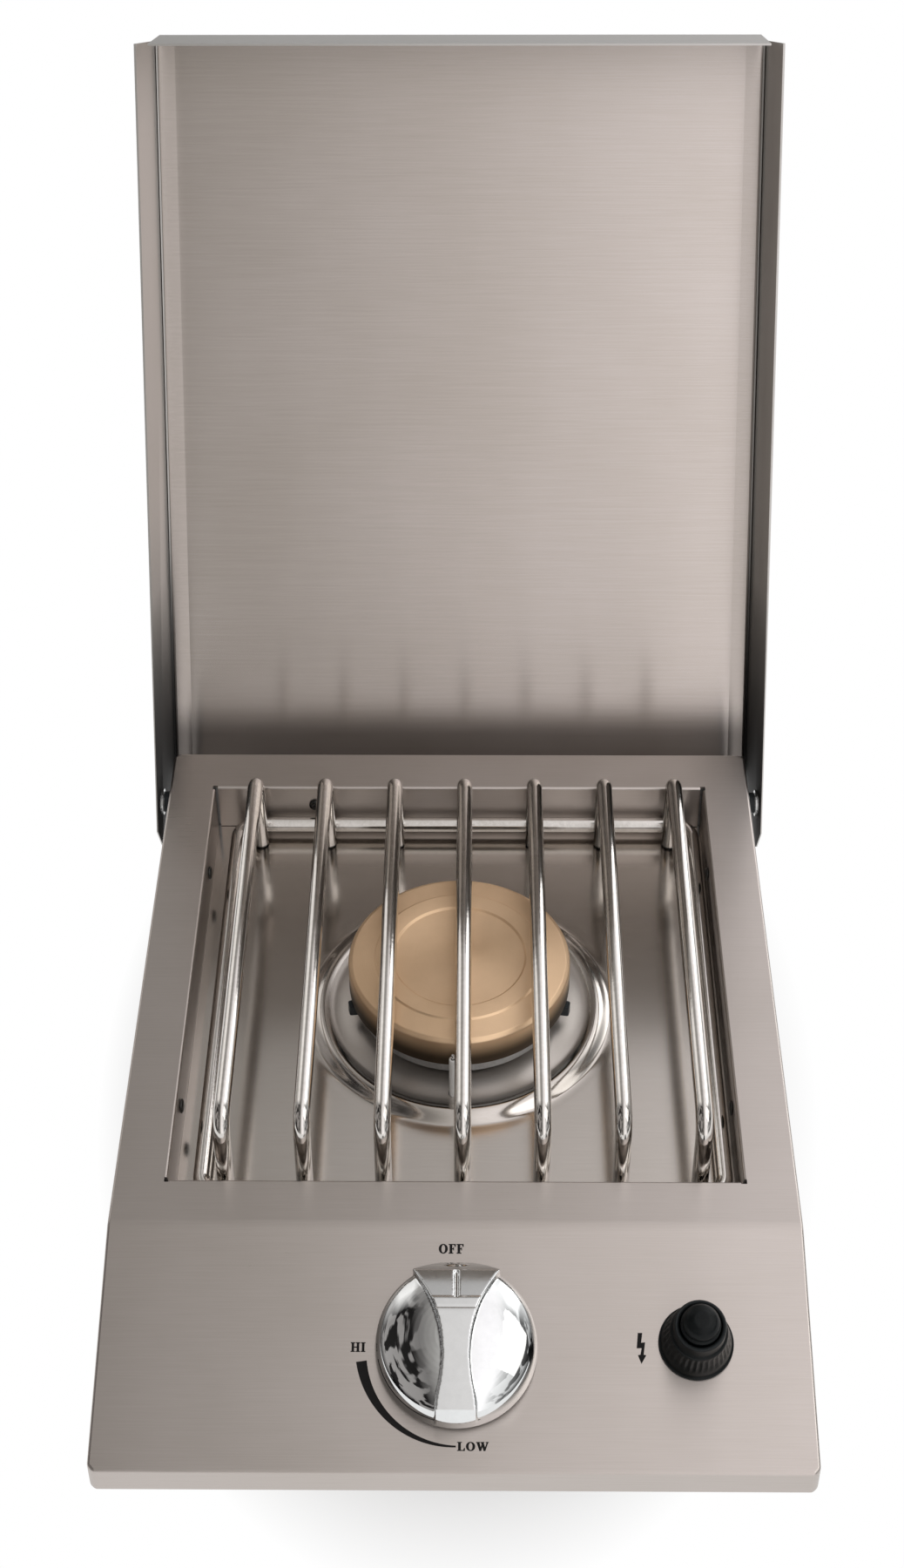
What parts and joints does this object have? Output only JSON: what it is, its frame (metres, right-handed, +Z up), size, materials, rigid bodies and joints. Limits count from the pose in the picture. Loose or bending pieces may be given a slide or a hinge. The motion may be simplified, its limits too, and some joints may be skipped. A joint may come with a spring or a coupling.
{
  "type": "built in side burner",
  "caption": "Drop in gas side burner with a hinged lid, wire grate, capped round burner, sloped control panel with a rotary knob and a push igniter.",
  "frame": {"origin": "bottom centre of the whole unit's bounding box with the lid open", "axes": "+X to the user's right, +Y to the back, +Z up"},
  "size_m": [0.321, 0.6236, 0.4509],
  "materials": {
    "deck_steel": "brushed stainless, lengthwise grain",
    "liner_steel": "fine brushed stainless",
    "tray_steel": "polished stainless",
    "galvanised_steel": "dull zinc coat",
    "plated_wire": "bright plated rod",
    "knob_chrome": "mirror chrome",
    "plated_hardware": "bright zinc",
    "cast_head": "rough cast",
    "brass_cap": "satin brass",
    "valve_brass": "machined brass",
    "black_plastic": "semi matt black",
    "glazed_ceramic": "glazed white"
  },
  "bodies": {
    "base": {"top_deck": "deck_steel", "burner_box": "galvanised_steel", "drip_tray": "tray_steel", "well_screw_1": "plated_hardware", "well_screw_2": "plated_hardware", "well_screw_3": "plated_hardware", "well_screw_4": "plated_hardware", "well_screw_5": "plated_hardware", "well_screw_6": "plated_hardware", "burner_head": "cast_head", "head_lug_left": "black_plastic", "head_lug_right": "black_plastic", "mixing_tube": "galvanised_steel", "air_shutter": "galvanised_steel", "electrode": "glazed_ceramic", "electrode_pin": "plated_hardware", "electrode_clip": "galvanised_steel", "gas_valve": "valve_brass", "inlet_pipe": "valve_brass", "inlet_fitting": "valve_brass", "igniter_bezel": "black_plastic", "igniter_nut": "black_plastic", "igniter_body": "black_plastic", "hinge_bush_left": "black_plastic", "hinge_bush_right": "black_plastic", "hinge_base_washer_left": "plated_hardware", "hinge_base_washer_right": "plated_hardware", "hinge_nut_left": "plated_hardware", "hinge_nut_right": "plated_hardware"},
    "lid": {"lid_shell": "deck_steel", "lid_liner": "liner_steel", "hinge_pin_left": "plated_hardware", "hinge_pin_right": "plated_hardware", "hinge_lid_washer_left": "plated_hardware", "hinge_lid_washer_right": "plated_hardware"},
    "stem_slide": {"stem_collar": "valve_brass"},
    "knob_dial": {"knob": "knob_chrome", "valve_stem": "plated_hardware"},
    "igniter_push_button": {"igniter_button": "black_plastic"},
    "grate": {"grate_ring": "plated_wire", "grate_bar_1": "plated_wire", "grate_bar_2": "plated_wire", "grate_bar_3": "plated_wire", "grate_bar_4": "plated_wire", "grate_bar_5": "plated_wire", "grate_bar_6": "plated_wire", "grate_bar_7": "plated_wire"},
    "cap": {"burner_cap": "brass_cap"}
  },
  "joints": [
    {"name": "lid_hinge", "type": "hinge", "parent": "base", "child": "lid", "pos_m": [0, 0.07706, 0.094], "axis": [-1, 0, 0], "range_deg": [-116.7, 0]},
    {"name": "knob_push", "type": "slide", "parent": "base", "child": "stem_slide", "axis": [0, 0.3074, -0.9516], "range_m": [0, 0.0025], "stiffness_N_per_m": 1500, "springref_m": -0.002},
    {"name": "knob_turn", "type": "hinge", "parent": "stem_slide", "child": "knob_dial", "pos_m": [0.001, -0.26251, 0.09534], "axis": [0, -0.3074, 0.9516], "range_deg": [0, 180]},
    {"name": "igniter_push", "type": "slide", "parent": "base", "child": "igniter_push_button", "axis": [0, 0.3074, -0.9516], "range_m": [0, 0.0035], "stiffness_N_per_m": 1500, "springref_m": -0.002},
    {"name": "grate_lift", "type": "slide", "parent": "base", "child": "grate", "axis": [0, 0, 1], "range_m": [0, 0.06]},
    {"name": "cap_lift", "type": "slide", "parent": "base", "child": "cap", "axis": [0, 0, 1], "range_m": [0, 0.0055]}
  ]
}
